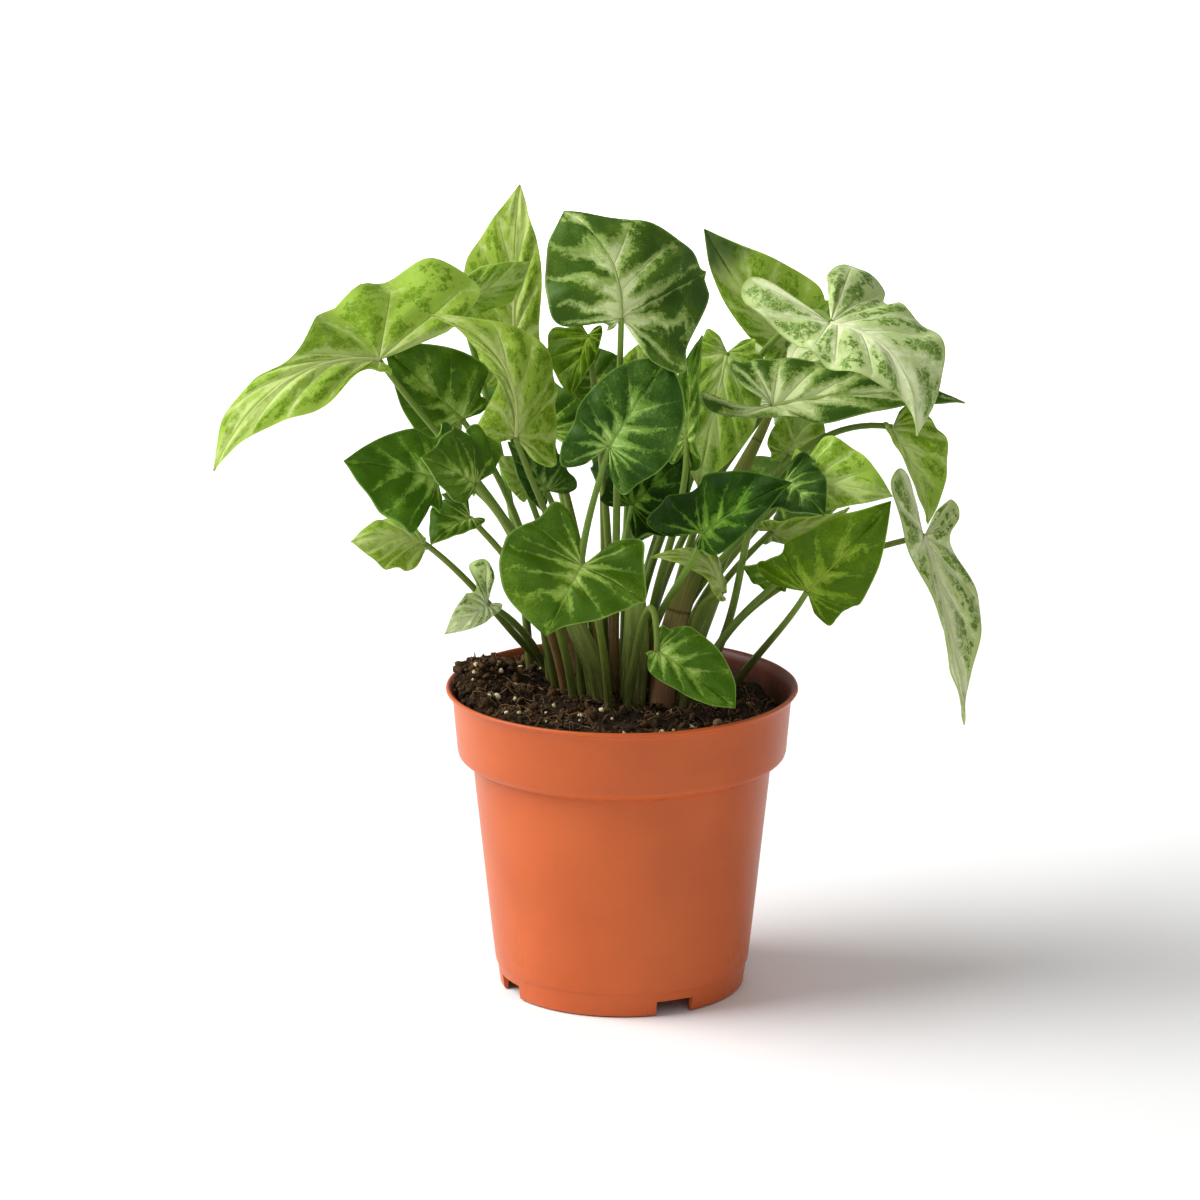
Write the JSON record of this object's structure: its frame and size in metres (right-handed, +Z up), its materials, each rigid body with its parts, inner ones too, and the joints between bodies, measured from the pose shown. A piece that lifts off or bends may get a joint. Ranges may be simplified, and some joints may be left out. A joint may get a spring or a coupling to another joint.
{
  "type": "potted arrowhead plant",
  "caption": "Bushy arrowhead plant with variegated arrow-shaped leaves on long stalks, in a round plastic nursery pot filled with soil.",
  "frame": {"origin": "on the ground under the middle of the plant's bounding box; the pot's axis stands 7.5 mm towards +X from it", "axes": "+Z up, -Y towards the side that the picture shows, +X to that viewer's right"},
  "size_m": [0.2545, 0.1515, 0.2731],
  "materials": {
    "pot": "satin",
    "soil": "matte",
    "cane": "matte",
    "sheath": "satin",
    "leaf_pale": "satin",
    "leaf_lime": "satin",
    "leaf_mid": "satin",
    "leaf_dark": "satin",
    "leaf_back": "matte"
  },
  "bodies": {
    "root": {"pot": "pot", "soil": "soil", "cane_left": "cane", "sheath_left": "sheath", "sheath_middle": "sheath", "sheath_right": "sheath", "leaf_01": "leaf_pale", "leaf_02": "leaf_lime", "leaf_03": "leaf_back", "leaf_04": "leaf_dark", "leaf_05": "leaf_dark", "leaf_06": "leaf_mid", "leaf_07": "leaf_mid", "leaf_08": "leaf_dark", "leaf_09": "leaf_pale", "leaf_10": "leaf_dark", "leaf_11": "leaf_dark", "leaf_12": "leaf_mid", "leaf_13": "leaf_dark", "leaf_14": "leaf_dark", "leaf_15": "leaf_pale", "leaf_16": "leaf_back", "leaf_17": "leaf_lime", "leaf_18": "leaf_pale", "leaf_19": "leaf_pale", "leaf_20": "leaf_pale", "leaf_21": "leaf_lime", "leaf_22": "leaf_lime", "leaf_23": "leaf_lime", "leaf_24": "leaf_lime", "leaf_25": "leaf_pale", "leaf_26": "leaf_dark", "leaf_27": "leaf_mid", "leaf_28": "leaf_lime", "leaf_29": "leaf_back", "leaf_30": "leaf_lime", "leaf_31": "leaf_dark", "leaf_32": "leaf_lime", "leaf_33": "leaf_lime", "leaf_34": "leaf_back", "leaf_35": "leaf_lime", "leaf_36": "leaf_mid", "leaf_37": "leaf_dark", "leaf_38": "leaf_pale", "leaf_39": "leaf_mid", "leaf_40": "leaf_mid", "leaf_41": "leaf_dark"}
  },
  "joints": []
}
